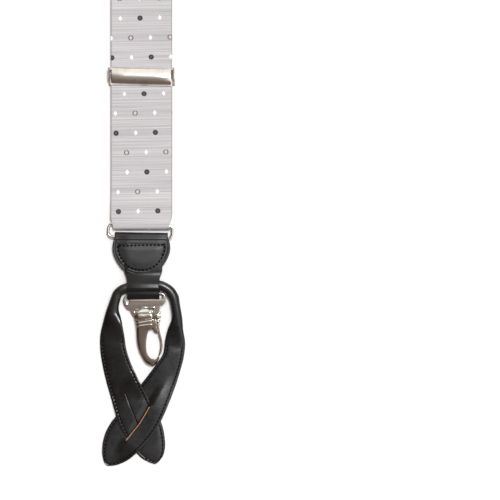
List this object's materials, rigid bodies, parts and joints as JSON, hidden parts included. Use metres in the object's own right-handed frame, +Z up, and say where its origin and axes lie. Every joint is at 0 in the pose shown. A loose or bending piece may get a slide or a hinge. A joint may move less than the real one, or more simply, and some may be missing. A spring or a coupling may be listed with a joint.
{
  "type": "suspenders",
  "caption": "Y-back dress suspenders: patterned webbing, sliding adjusters, leather tabs with trigger snaps and button loops.",
  "frame": {"origin": "on the surface it lies on, under the middle of the bounding box", "axes": "+Z up off the surface, +Y from the button loops to the shoulder folds, +X to the right"},
  "size_m": [0.2848, 0.5538, 0.01],
  "materials": {
    "patterned_webbing": "silver-grey bird's-eye weave with small woven dots",
    "elastic_webbing": "ribbed silver-grey elastic",
    "black_leather": "smooth black, semi-gloss, stitched in black",
    "rolled_leather": "rolled and glossy in the middle, flat and satin at the ends",
    "polished_nickel": "polished nickel plate",
    "spring_steel": "bright steel"
  },
  "bodies": {
    "webbing": {"back_strap": "elastic_webbing", "yoke_under": "black_leather", "yoke_over": "black_leather", "front_strap_right": "patterned_webbing", "strap_tail_right": "patterned_webbing", "shoulder_fold_right": "patterned_webbing", "back_leg_right": "patterned_webbing", "front_strap_left": "patterned_webbing", "strap_tail_left": "patterned_webbing", "shoulder_fold_left": "patterned_webbing", "back_leg_left": "patterned_webbing"},
    "adjuster_right": {"adjuster_frame_right": "polished_nickel", "adjuster_pin_right": "spring_steel"},
    "adjuster_cover_right": {"adjuster_lever_right": "polished_nickel"},
    "adjuster_left": {"adjuster_frame_left": "polished_nickel", "adjuster_pin_left": "spring_steel"},
    "adjuster_cover_left": {"adjuster_lever_left": "polished_nickel"},
    "ring_right": {"ring_right": "polished_nickel"},
    "tab_right": {"patch_right": "black_leather", "neck_right": "black_leather"},
    "snap_right": {"snap_eye_right": "polished_nickel", "snap_hook_right": "polished_nickel", "snap_collar_right": "polished_nickel", "snap_rivet_right": "spring_steel", "trigger_spring_right": "spring_steel"},
    "trigger_right": {"snap_trigger_right": "polished_nickel"},
    "loop_right": {"button_loop_right": "rolled_leather"},
    "ring_left": {"ring_left": "polished_nickel"},
    "tab_left": {"patch_left": "black_leather", "neck_left": "black_leather"},
    "snap_left": {"snap_eye_left": "polished_nickel", "snap_hook_left": "polished_nickel", "snap_collar_left": "polished_nickel", "snap_rivet_left": "spring_steel", "trigger_spring_left": "spring_steel"},
    "trigger_left": {"snap_trigger_left": "polished_nickel"},
    "loop_left": {"button_loop_left": "rolled_leather"},
    "ring_back": {"ring_back": "polished_nickel"},
    "tab_back": {"patch_back": "black_leather", "neck_back": "black_leather"},
    "snap_back": {"snap_eye_back": "polished_nickel", "snap_hook_back": "polished_nickel", "snap_collar_back": "polished_nickel", "snap_rivet_back": "spring_steel", "trigger_spring_back": "spring_steel"},
    "trigger_back": {"snap_trigger_back": "polished_nickel"},
    "loop_back": {"button_loop_back": "rolled_leather"}
  },
  "joints": [
    {"name": "adjuster_slide_right", "type": "slide", "parent": "webbing", "child": "adjuster_right", "axis": [0, 1, 0], "range_m": [-0.05, 0.15], "deforming": ["strap_tail_right"]},
    {"name": "adjuster_cover_hinge_right", "type": "hinge", "parent": "adjuster_right", "child": "adjuster_cover_right", "pos_m": [0.11759, -0.0509, 0.0044], "axis": [-1, 0, 0], "range_deg": [0, 105]},
    {"name": "adjuster_slide_left", "type": "slide", "parent": "webbing", "child": "adjuster_left", "axis": [0, 1, 0], "range_m": [-0.05, 0.15], "deforming": ["strap_tail_left"]},
    {"name": "adjuster_cover_hinge_left", "type": "hinge", "parent": "adjuster_left", "child": "adjuster_cover_left", "pos_m": [-0.11841, -0.0509, 0.0044], "axis": [-1, 0, 0], "range_deg": [0, 105]},
    {"name": "ring_swing_right", "type": "hinge", "parent": "webbing", "child": "ring_right", "pos_m": [0.11699, -0.139, 0.0026], "axis": [-0.9994, 0.0349, 0], "range_deg": [-60, 60]},
    {"name": "tab_swing_right", "type": "hinge", "parent": "ring_right", "child": "tab_right", "pos_m": [0.11672, -0.14659, 0.0026], "axis": [-0.9994, 0.0349, 0], "range_deg": [-60, 60]},
    {"name": "snap_swing_right", "type": "hinge", "parent": "tab_right", "child": "snap_right", "pos_m": [0.11924, -0.1787, 0.0026], "axis": [-0.9962, -0.0872, 0], "range_deg": [-60, 60]},
    {"name": "trigger_right", "type": "hinge", "parent": "snap_right", "child": "trigger_right", "pos_m": [0.12739, -0.1913, 0.0026], "axis": [0, 0, -1], "range_deg": [0, 12], "stiffness_Nm_per_rad": 0.01, "springref_deg": -8.59, "deforming": ["trigger_spring_right"]},
    {"name": "loop_swing_right", "type": "hinge", "parent": "tab_right", "child": "loop_right", "pos_m": [0.11759, -0.1737, 0.0038], "axis": [-1, 0, 0], "range_deg": [-60, 60]},
    {"name": "ring_swing_left", "type": "hinge", "parent": "webbing", "child": "ring_left", "pos_m": [-0.11901, -0.139, 0.0026], "axis": [-0.9994, 0.0349, 0], "range_deg": [-60, 60]},
    {"name": "tab_swing_left", "type": "hinge", "parent": "ring_left", "child": "tab_left", "pos_m": [-0.11928, -0.14659, 0.0026], "axis": [-0.9994, 0.0349, 0], "range_deg": [-60, 60]},
    {"name": "snap_swing_left", "type": "hinge", "parent": "tab_left", "child": "snap_left", "pos_m": [-0.11676, -0.1787, 0.0026], "axis": [-0.9962, -0.0872, 0], "range_deg": [-60, 60]},
    {"name": "trigger_left", "type": "hinge", "parent": "snap_left", "child": "trigger_left", "pos_m": [-0.10861, -0.1913, 0.0026], "axis": [0, 0, -1], "range_deg": [0, 12], "stiffness_Nm_per_rad": 0.01, "springref_deg": -8.59, "deforming": ["trigger_spring_left"]},
    {"name": "loop_swing_left", "type": "hinge", "parent": "tab_left", "child": "loop_left", "pos_m": [-0.11841, -0.1737, 0.0038], "axis": [-1, 0, 0], "range_deg": [-60, 60]},
    {"name": "ring_swing_back", "type": "hinge", "parent": "webbing", "child": "ring_back", "pos_m": [0.00019, -0.127, 0.0026], "axis": [-0.9994, -0.0349, 0], "range_deg": [-60, 60]},
    {"name": "tab_swing_back", "type": "hinge", "parent": "ring_back", "child": "tab_back", "pos_m": [0.00046, -0.13459, 0.0026], "axis": [-0.9994, -0.0349, 0], "range_deg": [-60, 60]},
    {"name": "snap_swing_back", "type": "hinge", "parent": "tab_back", "child": "snap_back", "pos_m": [-0.00206, -0.1667, 0.0026], "axis": [-0.9962, 0.0872, 0], "range_deg": [-60, 60]},
    {"name": "trigger_back", "type": "hinge", "parent": "snap_back", "child": "trigger_back", "pos_m": [-0.01021, -0.1793, 0.0026], "axis": [0, 0, 1], "range_deg": [0, 12], "stiffness_Nm_per_rad": 0.01, "springref_deg": -8.59, "deforming": ["trigger_spring_back"]},
    {"name": "loop_swing_back", "type": "hinge", "parent": "tab_back", "child": "loop_back", "pos_m": [-0.00041, -0.1617, 0.0038], "axis": [-1, 0, 0], "range_deg": [-60, 60]}
  ]
}
